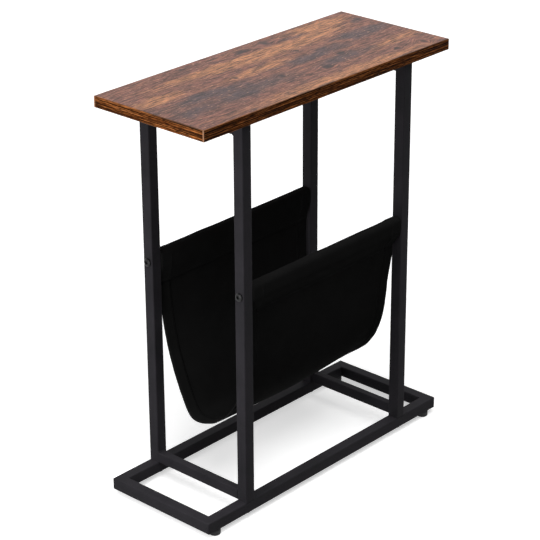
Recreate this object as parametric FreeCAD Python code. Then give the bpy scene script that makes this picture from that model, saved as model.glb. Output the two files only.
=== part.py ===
import FreeCAD, Part
import math
import os

from FreeCAD import Vector

# Magazine table: a laminated board on a welded steel tube frame, with a cloth sling hung
# between two bars. Millimetres, X along the board, Y across it, Z up from the floor.
# Left is -X, right is +X, front is -Y, rear is +Y.

# Overall sizes
HEIGHT = 600.0
BOARD_LENGTH = 500.0
BOARD_WIDTH = 200.0
BOARD_THICKNESS = 16.0
BASE_LENGTH = 500.0
BASE_WIDTH = 190.0
LEG_SPACING = 332.0           # between the centre lines of the two leg frames

# Board layers: chipboard core, decor sheets above and below, glued strips round the edge
LAMINATE = 0.8
EDGE_BAND = 1.2
EDGE_EASE = 0.6               # rounding of the strips' long outer edges

# Square tube of the legs and the base
TUBE = 17.0
TUBE_WALL = 1.2
TUBE_CORNER = 1.5
BASE_CORNER = 2.5             # rounding of the base's outer corners, seen from above

# Rectangular tube that ties each pair of legs, high and low
CROSSBAR_WIDTH = 12.0
CROSSBAR_HEIGHT = 16.0

# Bars that carry the sling
BAR_LEVEL = 340.0             # bar axis above the floor
BAR_WIDTH = 13.0
BAR_HEIGHT = 22.0
BAR_CORNER = 4.0

# Cloth sling
CLOTH = 1.6
CLOTH_GAP = 0.3               # between the cloth and the bar inside its sleeve
SLING_DEPTH = 234.0           # from the bar axis down to the lowest cloth
SLING_END_GAP = 1.0           # between the sleeve ends and the legs
SLEEVE_TAIL = 18.5            # from the bar's underside down to the sleeve's seam
SEAM_INSET = 3.0              # from the bar axis inwards to the sleeve's seam
SEAM = 5.0                    # height over which the sleeve is sewn to the wall
HEM_RECESS = 4.0              # how far the side hems draw in at the bottom
HEM_WAIST = 3.0               # how far they draw in half way down
ARCS_PER_WALL = 6             # arcs from the lowest cloth up to one seam

# Fasteners
BOLT = 6.0
BOLT_CLEARANCE = 0.25         # round a bolt in a drilled hole
THREAD_CLEARANCE = 0.05       # round a bolt in its nut
HEAD_DIAMETER = 12.0
HEAD_HEIGHT = 3.2
HEAD_EDGE = 0.8               # straight rim under the sloping top of a head
HEAD_FLAT = 6.0               # flat crown round the socket
SOCKET = 4.0                  # hexagon socket across flats
SOCKET_DEPTH = 1.8
PLUG_LENGTH = 16.0            # threaded plugs in the legs and in the sling bars
PLUG_FIT = 0.05               # round a plug in its tube
PLUG_GRIP = 13.0              # length of bolt inside a plug
INSERT_DIAMETER = 9.0         # threaded inserts in the board
INSERT_LENGTH = 10.0
INSERT_FIT = 0.05             # round an insert in the board
INSERT_GRIP = 8.0
BOARD_SCREW_SPACING = 110.0   # between the two screws of one crossbar

# Screw-in feet
FOOT_HEIGHT = 9.0
FOOT_DIAMETER = 17.0
FOOT_BEVEL = 2.0
FOOT_INSET = 20.0             # foot centre from the end of the base
STUD_LENGTH = 13.0            # stud above the pad
STUD_ROOT = 4.5               # stud moulded into the pad
FLANGE_DIAMETER = 12.0        # rivet nut flange under the rail
FLANGE_THICKNESS = 1.0
RIVET_NUT_DIAMETER = 9.0
RIVET_NUT_LENGTH = 11.0

# Places worked out from the sizes above
base_bottom = FOOT_HEIGHT
base_top = base_bottom + TUBE
board_bottom = HEIGHT - BOARD_THICKNESS
leg_x = LEG_SPACING / 2
leg_y = (BASE_WIDTH - TUBE) / 2
leg_outer_x = leg_x + TUBE / 2
leg_inner_x = leg_x - TUBE / 2
crossbar_x = leg_outer_x - CROSSBAR_WIDTH / 2
crossbar_length = 2 * leg_y - TUBE
board_screw_y = BOARD_SCREW_SPACING / 2
foot_x = BASE_LENGTH / 2 - FOOT_INSET
sling_bottom = BAR_LEVEL - SLING_DEPTH
seam_level = BAR_LEVEL - BAR_HEIGHT / 2 - SLEEVE_TAIL
seam_y = leg_y - SEAM_INSET
pocket_depth = seam_level - sling_bottom
bolt_hole = BOLT / 2 + BOLT_CLEARANCE
thread_hole = BOLT / 2 + THREAD_CLEARANCE
sides_x = {"left": -1, "right": 1}
sides_y = {"front": -1, "rear": 1}
UP = Vector(0, 0, 1)
QUARTER_TURN = math.pi / 2


def plain_bar(width, depth, length):
    """Solid bar up Z from the origin, centred in X and Y."""
    return Part.makeBox(width, depth, length, Vector(-width / 2, -depth / 2, 0))


def is_upright(edge):
    """Whether a straight edge runs along Z."""
    return abs(edge.tangentAt(edge.FirstParameter).z) > 0.5


def rounded_bar(width, depth, length, corner):
    """Solid bar up Z from the origin, centred in X and Y, with rounded long edges."""
    bar = plain_bar(width, depth, length)
    return bar.makeFillet(corner, [edge for edge in bar.Edges if is_upright(edge)])


def tube(width, depth, length, corner):
    """Open tube up Z from the origin."""
    bore = plain_bar(width - 2 * TUBE_WALL, depth - 2 * TUBE_WALL, length)
    return rounded_bar(width, depth, length, corner).cut(bore)


def plug(width, depth):
    """Threaded plug up Z from the origin that fills the end of a tube of this size."""
    loss = 2 * (TUBE_WALL + PLUG_FIT)
    block = plain_bar(width - loss, depth - loss, PLUG_LENGTH)
    return block.cut(Part.makeCylinder(thread_hole, PLUG_LENGTH))


def lay_along_x(shape, sense=1):
    """Turn a shape built up Z so that it runs along X; its width becomes its height."""
    return shape.rotate(Vector(0, 0, 0), Vector(0, 1, 0), 90 * sense)


def lay_along_y(shape):
    """Turn a shape built up Z so that it runs along Y; its depth becomes its height."""
    return shape.rotate(Vector(0, 0, 0), Vector(1, 0, 0), -90)


def drill(shape, radius, start, length, direction=UP):
    """Cut a round hole."""
    return shape.cut(Part.makeCylinder(radius, length, start, direction))


def four_places(x, y, z):
    """The four places at plus and minus x and y."""
    return [Vector(sx * x, sy * y, z) for sx in sides_x.values() for sy in sides_y.values()]


def moved(shape, place):
    """A copy of a shape with its origin at this place."""
    copy = shape.copy()
    copy.translate(place)
    return copy


def group(shapes):
    """Separate solids that share one node."""
    return Part.makeCompound(shapes)


def copies(shape, places):
    """The same solid at several places, as one group."""
    return group([moved(shape, place) for place in places])


def turned(outline):
    """Turn a closed outline of straight lines in the XZ plane about Z."""
    return Part.Face(Part.makePolygon(outline + outline[:1])).revolve(Vector(0, 0, 0), UP, 360)


def socket_bolt(length):
    """Button-head bolt: the shank runs up Z from the origin, the sloping head hangs below it."""
    head_radius = HEAD_DIAMETER / 2
    bolt = turned([
        Vector(0, 0, length),
        Vector(BOLT / 2, 0, length),
        Vector(BOLT / 2, 0, 0),
        Vector(head_radius, 0, 0),
        Vector(head_radius, 0, -HEAD_EDGE),
        Vector(HEAD_FLAT / 2, 0, -HEAD_HEIGHT),
        Vector(0, 0, -HEAD_HEIGHT),
    ])
    corner_radius = SOCKET / math.sqrt(3)
    corners = [
        Vector(corner_radius * math.cos(turn), corner_radius * math.sin(turn), -HEAD_HEIGHT)
        for turn in [math.radians(60 * step) for step in range(7)]
    ]
    socket = Part.Face(Part.makePolygon(corners)).extrude(Vector(0, 0, SOCKET_DEPTH))
    return bolt.cut(socket)


def build_board():
    """Core, two decor sheets and four edge strips."""
    inner_length = BOARD_LENGTH - 2 * EDGE_BAND
    inner_width = BOARD_WIDTH - 2 * EDGE_BAND
    corner = Vector(-inner_length / 2, -inner_width / 2, 0)
    levels = {
        "underside_laminate": (board_bottom, LAMINATE),
        "table_core": (board_bottom + LAMINATE, BOARD_THICKNESS - 2 * LAMINATE),
        "top_laminate": (HEIGHT - LAMINATE, LAMINATE),
    }
    nodes = {}
    for name, (level, thickness) in levels.items():
        nodes[name] = Part.makeBox(inner_length, inner_width, thickness, corner + Vector(0, 0, level))
    for name in ("underside_laminate", "table_core"):
        for place in four_places(crossbar_x, board_screw_y, board_bottom):
            nodes[name] = drill(nodes[name], INSERT_DIAMETER / 2 + INSERT_FIT, place, INSERT_LENGTH)
    frame = moved(plain_bar(BOARD_LENGTH, BOARD_WIDTH, BOARD_THICKNESS), Vector(0, 0, board_bottom))
    frame = frame.makeFillet(EDGE_EASE, [edge for edge in frame.Edges if not is_upright(edge)])
    frame = frame.cut(Part.makeBox(inner_length, inner_width, HEIGHT, corner))
    for side, sense in sides_y.items():
        strip = Part.makeBox(BOARD_LENGTH, EDGE_BAND, HEIGHT)
        strip.translate(Vector(-BOARD_LENGTH / 2, sense * (BOARD_WIDTH - EDGE_BAND) / 2 - EDGE_BAND / 2, 0))
        nodes["edge_band_" + side] = frame.common(strip)
    for side, sense in sides_x.items():
        strip = Part.makeBox(EDGE_BAND, inner_width, HEIGHT)
        strip.translate(Vector(sense * (BOARD_LENGTH - EDGE_BAND) / 2 - EDGE_BAND / 2, -inner_width / 2, 0))
        nodes["edge_band_" + side] = frame.common(strip)
    return nodes


def build_legs():
    """Four legs, each drilled right through for its sling screw."""
    nodes = {}
    upright = tube(TUBE, TUBE, board_bottom - base_top, TUBE_CORNER)
    for y_name, sy in sides_y.items():
        for x_name, sx in sides_x.items():
            leg = moved(upright, Vector(sx * leg_x, sy * leg_y, base_top))
            start = Vector(sx * leg_x - TUBE, sy * leg_y, BAR_LEVEL)
            nodes[f"leg_{y_name}_{x_name}"] = drill(leg, bolt_hole, start, 2 * TUBE, Vector(1, 0, 0))
    return nodes


def build_crossbars():
    """Short tubes between the legs of one pair: under the board and at the feet."""
    nodes = {}
    for x_name, sx in sides_x.items():
        bar = lay_along_y(tube(CROSSBAR_WIDTH, CROSSBAR_HEIGHT, crossbar_length, TUBE_CORNER))
        bar.translate(Vector(sx * crossbar_x, -crossbar_length / 2, CROSSBAR_HEIGHT / 2))
        nodes["low_crossbar_" + x_name] = moved(bar, Vector(0, 0, base_top))
        top = moved(bar, Vector(0, 0, board_bottom - CROSSBAR_HEIGHT))
        for sy in sides_y.values():
            start = Vector(sx * crossbar_x, sy * board_screw_y, board_bottom - CROSSBAR_HEIGHT)
            top = drill(top, bolt_hole, start, CROSSBAR_HEIGHT)
        nodes["top_crossbar_" + x_name] = top
    return nodes


def mitred(rail, length, sense_y):
    """Cut both ends of a rail along X at 45 degrees; sense_y is the side of its long face."""
    outer = sense_y * TUBE / 2
    plan = [
        Vector(-length / 2, outer, 0),
        Vector(length / 2, outer, 0),
        Vector(length / 2 - TUBE, -outer, 0),
        Vector(-length / 2 + TUBE, -outer, 0),
        Vector(-length / 2, outer, 0),
    ]
    prism = Part.Face(Part.makePolygon(plan)).extrude(Vector(0, 0, TUBE))
    return rail.common(prism)


def base_rail(length, sense_y):
    """Mitred rail along X, centred on the origin and standing on the plane z = 0."""
    rail = lay_along_x(tube(TUBE, TUBE, length, TUBE_CORNER))
    rail.translate(Vector(-length / 2, 0, TUBE / 2))
    return mitred(rail, length, sense_y)


def build_base():
    """Rectangle of four mitred rails with rounded outer corners, drilled for the leg bolts and the feet."""
    nodes = {}
    limits = rounded_bar(BASE_LENGTH, BASE_WIDTH, base_top, BASE_CORNER)
    for y_name, sy in sides_y.items():
        rail = moved(base_rail(BASE_LENGTH, sy), Vector(0, sy * leg_y, base_bottom))
        for sx in sides_x.values():
            rail = drill(rail, bolt_hole, Vector(sx * leg_x, sy * leg_y, base_bottom), TUBE)
            start = Vector(sx * foot_x, sy * leg_y, base_bottom)
            rail = drill(rail, RIVET_NUT_DIAMETER / 2 + BOLT_CLEARANCE, start, TUBE / 2)
        nodes["base_rail_" + y_name] = rail.common(limits)
    for x_name, sx in sides_x.items():
        rail = base_rail(BASE_WIDTH, -sx)
        rail.rotate(Vector(0, 0, 0), UP, 90)
        rail = moved(rail, Vector(sx * (BASE_LENGTH - TUBE) / 2, 0, base_bottom))
        nodes["base_rail_" + x_name] = rail.common(limits)
    return nodes


def build_sling_bars():
    """Two flat tubes between the legs, with a threaded plug in each end."""
    nodes = {}
    length = 2 * leg_inner_x
    for y_name, sy in sides_y.items():
        bar = lay_along_x(tube(BAR_HEIGHT, BAR_WIDTH, length, BAR_CORNER))
        nodes["sling_bar_" + y_name] = moved(bar, Vector(-length / 2, sy * leg_y, BAR_LEVEL))
    plugs = []
    for place in four_places(leg_inner_x, leg_y, BAR_LEVEL):
        inward = -math.copysign(1, place.x)
        plugs.append(moved(lay_along_x(plug(BAR_HEIGHT, BAR_WIDTH), inward), place))
    nodes["sling_bar_plugs"] = group(plugs)
    return nodes


def wall_point(turn, offset):
    """Point of the hanging cloth, half an ellipse from seam to seam, offset outwards from its middle.

    The turn is zero at the lowest cloth and a quarter turn at the rear seam.
    """
    middle = Vector(0, seam_y * math.sin(turn), seam_level - pocket_depth * math.cos(turn))
    outward = Vector(0, pocket_depth * math.sin(turn), -seam_y * math.cos(turn)).normalize()
    return middle + outward * offset


def wall_arcs(offset):
    """The cloth's cross-section line from the front seam to the rear seam, as arcs."""
    step = QUARTER_TURN / ARCS_PER_WALL
    arcs = []
    for index in range(-ARCS_PER_WALL, ARCS_PER_WALL):
        ends = [wall_point(step * (index + part), offset) for part in (0, 0.5, 1)]
        arcs.append(Part.Arc(*ends).toShape())
    return arcs


def sleeve_outline(spread, tip):
    """Closed line round the rear bar at a distance spread, drawn together to the points in tip."""
    side = BAR_WIDTH / 2 + spread
    top = BAR_HEIGHT / 2 + spread
    corner = BAR_CORNER + spread
    low = -BAR_HEIGHT / 2
    bevel = corner * (1 - math.sqrt(0.5))

    def at(y, z):
        return Vector(0, leg_y + y, BAR_LEVEL + z)

    edges = [
        Part.makeLine(tip[-1], at(side, low)),
        Part.makeLine(at(side, low), at(side, top - corner)),
        Part.Arc(at(side, top - corner), at(side - bevel, top - bevel), at(side - corner, top)).toShape(),
        Part.makeLine(at(side - corner, top), at(corner - side, top)),
        Part.Arc(at(corner - side, top), at(bevel - side, top - bevel), at(-side, top - corner)).toShape(),
        Part.makeLine(at(-side, top - corner), at(-side, low)),
        Part.makeLine(at(-side, low), tip[0]),
    ]
    if len(tip) > 1:
        edges.append(Part.makeLine(tip[0], tip[-1]))
    return Part.Face(Part.Wire(Part.__sortEdges__(edges)))


def build_sling():
    """One cloth: a hanging wall and a sewn sleeve round each bar, with side hems that draw in."""
    half_length = leg_inner_x - SLING_END_GAP
    run = Vector(2 * half_length, 0, 0)
    inner = wall_arcs(-CLOTH / 2)
    outer = wall_arcs(CLOTH / 2)
    rims = [
        Part.makeLine(wall_point(end, -CLOTH / 2), wall_point(end, CLOTH / 2))
        for end in (-QUARTER_TURN, QUARTER_TURN)
    ]
    wall = Part.Face(Part.Wire(Part.__sortEdges__(inner + outer + rims)))
    seam = [wall_point(QUARTER_TURN, offset) for offset in (-CLOTH / 2, CLOTH / 2)]
    seam_top = wall_point(QUARTER_TURN, 0) + Vector(0, 0, SEAM)
    sleeve = sleeve_outline(CLOTH_GAP + CLOTH, seam).cut(sleeve_outline(CLOTH_GAP, [seam_top]))
    front_sleeve = sleeve.mirror(Vector(0, 0, 0), Vector(0, 1, 0))
    cloth = wall.extrude(run).fuse([sleeve.extrude(run), front_sleeve.extrude(run)])
    cloth.translate(Vector(-half_length, 0, 0))
    return {"magazine_sling": cloth.common(hem_limits(half_length)).removeSplitter()}


def hem_limits(half_length):
    """Space between the two side hems: full length at the sleeves, drawn in towards the bottom."""
    top = BAR_LEVEL + BAR_HEIGHT
    low = sling_bottom - 2 * CLOTH
    bottom_half = half_length - HEM_RECESS
    middle = Vector(half_length - HEM_WAIST, 0, (seam_level + low) / 2)
    right_hem = Part.Arc(Vector(half_length, 0, seam_level), middle, Vector(bottom_half, 0, low)).toShape()
    edges = [
        right_hem,
        right_hem.mirror(Vector(0, 0, 0), Vector(1, 0, 0)),
        Part.makeLine(Vector(-bottom_half, 0, low), Vector(bottom_half, 0, low)),
        Part.makeLine(Vector(-half_length, 0, seam_level), Vector(-half_length, 0, top)),
        Part.makeLine(Vector(-half_length, 0, top), Vector(half_length, 0, top)),
        Part.makeLine(Vector(half_length, 0, top), Vector(half_length, 0, seam_level)),
    ]
    space = Part.Face(Part.Wire(Part.__sortEdges__(edges))).extrude(Vector(0, 2 * BASE_WIDTH, 0))
    space.translate(Vector(0, -BASE_WIDTH, 0))
    return space


def build_fasteners():
    """Sling screws, board screws and their inserts, leg bolts and their plugs, rivet nuts."""
    sling_screws = []
    for place in four_places(leg_outer_x, leg_y, BAR_LEVEL):
        inward = -math.copysign(1, place.x)
        sling_screws.append(moved(lay_along_x(socket_bolt(TUBE + PLUG_GRIP), inward), place))
    board_screw = socket_bolt(CROSSBAR_HEIGHT + INSERT_GRIP)
    insert = Part.makeCylinder(INSERT_DIAMETER / 2, INSERT_LENGTH)
    insert = drill(insert, thread_hole, Vector(0, 0, 0), INSERT_LENGTH)
    leg_bolt = socket_bolt(TUBE + PLUG_GRIP)
    leg_plug = plug(TUBE, TUBE)
    rivet_nut = Part.makeCylinder(RIVET_NUT_DIAMETER / 2, RIVET_NUT_LENGTH)
    flange = Part.makeCylinder(FLANGE_DIAMETER / 2, FLANGE_THICKNESS, Vector(0, 0, -FLANGE_THICKNESS))
    rivet_nut = rivet_nut.fuse(flange).removeSplitter()
    bore = RIVET_NUT_LENGTH + FLANGE_THICKNESS
    rivet_nut = drill(rivet_nut, bolt_hole, Vector(0, 0, -FLANGE_THICKNESS), bore)
    screw_level = board_bottom - CROSSBAR_HEIGHT
    return {
        "sling_screws": group(sling_screws),
        "board_screws": copies(board_screw, four_places(crossbar_x, board_screw_y, screw_level)),
        "board_inserts": copies(insert, four_places(crossbar_x, board_screw_y, board_bottom)),
        "leg_bolts": copies(leg_bolt, four_places(leg_x, leg_y, base_bottom)),
        "leg_plugs": copies(leg_plug, four_places(leg_x, leg_y, base_top)),
        "foot_rivet_nuts": copies(rivet_nut, four_places(foot_x, leg_y, base_bottom)),
    }


def foot_pad():
    """Moulded pad on the plane z = 0: bevelled lower edge, blind hole for the stud."""
    pad_height = FOOT_HEIGHT - FLANGE_THICKNESS
    radius = FOOT_DIAMETER / 2
    pad = turned([
        Vector(0, 0, 0),
        Vector(radius - FOOT_BEVEL, 0, 0),
        Vector(radius, 0, FOOT_BEVEL),
        Vector(radius, 0, pad_height),
        Vector(0, 0, pad_height),
    ])
    return drill(pad, thread_hole, Vector(0, 0, pad_height - STUD_ROOT), STUD_ROOT)


def build_feet():
    """Four screw-in feet, each a pad and a threaded stud."""
    nodes = {}
    stud_start = FOOT_HEIGHT - FLANGE_THICKNESS - STUD_ROOT
    stud = Part.makeCylinder(BOLT / 2, STUD_ROOT + STUD_LENGTH, Vector(0, 0, stud_start))
    pad = foot_pad()
    for y_name, sy in sides_y.items():
        for x_name, sx in sides_x.items():
            place = Vector(sx * foot_x, sy * leg_y, 0)
            nodes[f"foot_pad_{y_name}_{x_name}"] = moved(pad, place)
            nodes[f"foot_stud_{y_name}_{x_name}"] = moved(stud, place)
    return nodes


def main():
    """Build every node and write one STEP file for each."""
    os.makedirs("parts", exist_ok=True)
    builders = [
        build_board, build_legs, build_crossbars, build_base,
        build_sling_bars, build_sling, build_fasteners, build_feet,
    ]
    for builder in builders:
        for name, shape in builder().items():
            shape.exportStep(f"parts/{name}.step")


main()
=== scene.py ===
"""Magazine table: dresses a narrow side table with a cloth magazine sling, laid out as an add-on."""

import bisect
import math

import bmesh
import bpy
from bpy.props import FloatProperty, FloatVectorProperty, PointerProperty
from mathutils import Matrix, Quaternion, Vector, noise


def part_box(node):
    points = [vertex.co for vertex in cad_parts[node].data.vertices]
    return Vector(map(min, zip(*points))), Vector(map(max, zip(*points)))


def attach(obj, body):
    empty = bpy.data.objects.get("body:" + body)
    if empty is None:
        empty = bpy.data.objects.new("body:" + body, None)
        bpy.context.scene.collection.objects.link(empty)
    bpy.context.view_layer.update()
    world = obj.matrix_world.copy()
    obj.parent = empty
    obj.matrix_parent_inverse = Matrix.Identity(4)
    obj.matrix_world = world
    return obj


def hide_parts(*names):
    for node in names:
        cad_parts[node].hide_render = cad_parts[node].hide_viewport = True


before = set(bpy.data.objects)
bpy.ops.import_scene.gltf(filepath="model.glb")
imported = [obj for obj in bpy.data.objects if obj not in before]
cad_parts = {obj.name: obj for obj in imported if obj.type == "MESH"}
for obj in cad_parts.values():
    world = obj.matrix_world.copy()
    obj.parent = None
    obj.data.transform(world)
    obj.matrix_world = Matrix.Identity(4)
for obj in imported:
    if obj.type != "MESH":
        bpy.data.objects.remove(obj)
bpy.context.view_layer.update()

bl_info = {
    "name": "Magazine table",
    "version": (1, 0, 0),
    "blender": (4, 5, 0),
    "location": "3D View > Sidebar > Magazine table",
    "description": "Finishes a narrow side table and hangs its cloth magazine sling",
    "category": "Object",
}

MM = 0.001
TABLE = "table"
CORNERS = [f"{y}_{x}" for y in ("front", "rear") for x in ("left", "right")]
DOWN = (0, 0, -1)

# Sockets of the Mix node when it mixes colours
MIX_A = 6
MIX_B = 7
MIX_RESULT = 2


def linear(code):
    """The linear colour of an sRGB hex value."""
    channels = [int(code[start:start + 2], 16) / 255 for start in (1, 3, 5)]
    return [c / 12.92 if c <= 0.04045 else ((c + 0.055) / 1.055) ** 2.4 for c in channels] + [1.0]


# Properties

def colour(name, description, code):
    """A colour property with its default as an sRGB hex value."""
    return FloatVectorProperty(
        name=name, description=description, subtype="COLOR", size=4, min=0, max=1, default=linear(code)
    )


def length(name, description, millimetres):
    """A length property with its default in millimetres."""
    return FloatProperty(
        name=name, description=description, unit="LENGTH", precision=5, default=millimetres * MM
    )


def stage_angle(name, description, degrees):
    """A property for an angle on the stage, with its default in degrees."""
    return FloatProperty(name=name, description=description, subtype="ANGLE", default=math.radians(degrees))


def light_strength(name, description, value):
    """A property for the strength of a light."""
    return FloatProperty(name=name, description=description, min=0, default=value)


def stage_place(name, description, place):
    """A property for a place on the stage, in metres."""
    return FloatVectorProperty(
        name=name, description=description, subtype="TRANSLATION", unit="LENGTH", default=place
    )


def light_source(name, description, direction):
    """A property for the direction towards a far lamp."""
    return FloatVectorProperty(name=name, description=description, subtype="XYZ", default=direction)


class BoardLook(bpy.types.PropertyGroup):
    """Colours of the wood-print board."""

    brown: colour("Brown", "Ground of the printed wood", "#83564A")
    tan: colour("Tan", "Lighter bands of the printed wood", "#C28660")
    smoke: colour("Smoke", "Greyed, weathered bands", "#484046")
    dark: colour("Dark", "Knots and dark scratches", "#332829")
    fleck: colour("Fleck", "Short pale fibres", "#CFA084")
    edge: colour("Edge", "Ground of the edge strips", "#6C3B19")
    edge_light: colour("Edge light", "Light streaks of the edge strips", "#D08248")
    edge_dark: colour("Edge dark", "Dark streaks of the edge strips", "#1C0C04")
    # Colour of the strips' pale trimmed body, and of the painted highlight along their eased edges
    arris: colour("Arris", "Trimmed edges of the strips, where the paler body shows", "#B98B6C")
    chip: colour("Chip", "Pale wood chips of the core", "#C9A877")
    glue: colour("Glue", "Darker glue between the core's chips", "#8C6B45")


class SteelLook(bpy.types.PropertyGroup):
    """Finish of the steel frame."""

    coat: colour("Coat", "Black powder coat", "#323034")
    coat_deep: colour("Coat deep", "The same coat in its thin places", "#28272A")
    pebble: length("Pebble", "Width of the coat's fine pebbles, drawn coarser than real ones to show", 1.4)
    weld_radius: length("Weld radius", "Half the width of the weld beads", 1.5)


class SlingLook(bpy.types.PropertyGroup):
    """Sizes and colours of the cloth sling."""

    canvas: colour("Canvas", "Black cotton canvas", "#181818")
    canvas_worn: colour("Canvas worn", "Canvas where it has faded a little", "#242424")
    thread: colour("Thread", "Sewing thread", "#151516")
    cloth: length("Cloth", "Thickness of one layer of canvas", 1.0)
    gap: length("Gap", "Between the bar and the cloth round it", 0.5)
    weave: length("Weave", "Spacing of the canvas threads, drawn coarser than real ones to show", 1.3)
    tail: length("Tail", "From the bar down to the sleeve's seam", 18.5)
    inset: length("Inset", "From the bar's axis inwards to the sleeve's seam", 3.0)
    flap: length("Flap", "Turned-in end of the sleeve below its seam", 8.0)
    hem: length("Hem", "Width of the folded side hems", 20.0)
    draw: length("Draw", "How far the side hems draw in at the bottom", 4.0)
    lean: length("Lean", "How far behind the middle the lowest fold lies", 19.0)
    belly: length("Belly", "How far the walls swell between their seams and the fold", 2.9)
    askew: length("Askew", "How far the front wall is drawn in below its seam at the right end", 5.7)
    sag: length("Sag", "How far the fold hangs lower at mid-length than at its ends", 5.6)
    tilt: length("Tilt", "How far the fold hangs lower at its left end than at mid-length", 1.8)
    crease: length("Crease", "Depth of the crease along each row of seam stitches", 1.4)
    slip: length("Slip", "How far the sleeves have slipped inwards along their bars at the right end", 3.6)
    hem_crease: length("Hem crease", "Depth of the crease along each row of hem stitches", 0.5)
    row_inset: length("Row inset", "From the hem's inner edge out to its row of stitches", 1.2)
    seam_drop: length("Seam drop", "From the sleeve's lower end down to its row of stitches", 3.0)
    step: length("Step", "Spacing of the cloth's points along the bars", 6.0)
    pitch: length("Pitch", "From one stitch to the next", 4.2)
    stitch: length("Stitch", "Length of one stitch", 3.2)
    stitch_radius: length("Stitch radius", "Half the thickness of a stitch", 0.38)


class ScrewLook(bpy.types.PropertyGroup):
    """Sizes and colours of the screws and feet."""

    oxide: colour("Oxide", "Blackened screw steel", "#111112")
    zinc: colour("Zinc", "Zinc-plated steel", "#C9C8C3")
    plastic: colour("Plastic", "Black moulded plastic", "#1B1B1D")
    head_rim: length("Head rim", "Straight rim under a screw head's dome", 1.5)
    head_crown: length("Head crown", "Width of the flat crown round the socket", 6.6)
    shank: length("Shank", "Thickness of the screws and studs", 6.0)
    socket: length("Socket", "Hexagon socket across its flats", 4.6)
    socket_depth: length("Socket depth", "Depth of the hexagon socket", 1.8)
    thread_pitch: length("Thread pitch", "From one thread crest to the next", 1.0)
    thread_depth: length("Thread depth", "Depth of the thread", 0.55)
    foot_rounding: length("Foot rounding", "Radius of the pads' lower edge", 2.0)
    head_height: length("Head height", "Height of a screw head over the face that it sits on", 3.2)
    head_width: length("Head width", "Width of a screw head", 12.0)
    bolt_length: length("Bolt length", "Shank of the sling screws and the leg bolts", 30.0)
    board_screw_length: length("Board screw length", "Shank of the board screws", 24.0)


class StageLook(bpy.types.PropertyGroup):
    """Camera, floor and lamps."""

    aim: stage_place("Aim", "Point that the camera looks at", (-0.0092, 0.0089, 0.2957))
    distance: length("Distance", "From the aim to the camera", 2896.0)
    azimuth: stage_angle("Azimuth", "Turn of the view about the upright axis", -47.63)
    elevation: stage_angle("Elevation", "Height of the view over the horizon", 24.23)
    roll: stage_angle("Roll", "Tilt of the picture", -0.33)
    lens: FloatProperty(
        name="Lens", description="Focal length on a 36 mm frame", unit="CAMERA", default=135.67
    )
    paper: colour("Paper", "White paper of the floor", "#F8F8F8")
    paper_bounce: colour("Paper bounce", "The paper as it lights the table from below", "#2C2C2C")
    paper_lift: light_strength("Paper lift", "Light added to the paper where it is seen directly", 0.52)
    side_light: light_strength("Side light", "Power of the soft box on the left", 3.0)
    side_place: stage_place("Side place", "Where the soft box hangs", (-0.75, -0.05, 0.36))
    side_size: length("Side size", "Width of the soft box", 400.0)
    rear_light: light_strength("Rear light", "Strength of the low lamp behind", 0.5)
    rear_source: light_source("Rear source", "Direction towards the low lamp", (-0.25, 0.9, 0.3))
    rear_spread: stage_angle("Rear spread", "Width of the low lamp as the table sees it", 40.0)
    top_light: light_strength("Top light", "Strength of the broad lamp above", 2.05)
    top_source: light_source("Top source", "Direction towards the broad lamp", (-0.2, -0.3, 1.0))
    top_spread: stage_angle("Top spread", "Width of the broad lamp as the table sees it", 50.0)
    sky: light_strength("Sky", "Strength of the even light from all round", 0.08)


class TableLook(bpy.types.PropertyGroup):
    """All the settings of the table."""

    board: PointerProperty(type=BoardLook, name="Board", description="The wood-print board")
    steel: PointerProperty(type=SteelLook, name="Steel", description="The steel frame")
    sling: PointerProperty(type=SlingLook, name="Sling", description="The cloth sling")
    screws: PointerProperty(type=ScrewLook, name="Screws", description="The screws and feet")
    stage: PointerProperty(type=StageLook, name="Stage", description="Camera, floor and lamps")


# Shared helpers

def add(tree, kind, inputs=None, output=0, **settings):
    """Add a node with its settings, set or link its inputs, and return one of its outputs."""
    node = tree.nodes.new(kind)
    for name, value in settings.items():
        setattr(node, name, value)
    for name, value in (inputs or {}).items():
        if isinstance(value, bpy.types.NodeSocket):
            tree.links.new(value, node.inputs[name])
        else:
            node.inputs[name].default_value = value
    return node.outputs[output] if node.outputs else None


def new_material(name):
    """A new material and its empty node tree."""
    material = bpy.data.materials.new(name)
    material.use_nodes = True
    material.node_tree.nodes.clear()
    return material, material.node_tree


def in_millimetres(tree, stretch=(1, 1, 1)):
    """The place on the object in millimetres, divided by stretch."""
    place = add(tree, "ShaderNodeTexCoord", output="Object")
    per_metre = [1 / (MM * part) for part in stretch]
    return add(tree, "ShaderNodeVectorMath", {0: place, 1: per_metre}, operation="MULTIPLY")


def distance_from(tree, value, level):
    """How far a value lies from a level, to either side."""
    offset = add(tree, "ShaderNodeMath", {0: value, 1: level}, operation="SUBTRACT")
    return add(tree, "ShaderNodeMath", {0: offset}, operation="ABSOLUTE")


def laid_over(tree, ground, layers):
    """A ground colour with further colours laid over it in turn, each by its share."""
    for share, tint in layers:
        inputs = {0: share, MIX_A: ground, MIX_B: tint}
        ground = add(tree, "ShaderNodeMix", inputs, output=MIX_RESULT, data_type="RGBA")
    return ground


def mottled(tree, ground, size, detail, tones, roughs):
    """A colour and a roughness that vary together with noise of a size in millimetres, and that noise."""
    settings = {"Vector": in_millimetres(tree), "Scale": 1 / size, "Detail": detail}
    mottle = add(tree, "ShaderNodeTexNoise", settings)
    tone = add(tree, "ShaderNodeMapRange", {"Value": mottle, "To Min": tones[0], "To Max": tones[1]})
    tint = add(tree, "ShaderNodeVectorMath", {0: ground[:3], "Scale": tone}, operation="SCALE")
    rough = add(tree, "ShaderNodeMapRange", {"Value": mottle, "To Min": roughs[0], "To Max": roughs[1]})
    return tint, rough, mottle


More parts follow.
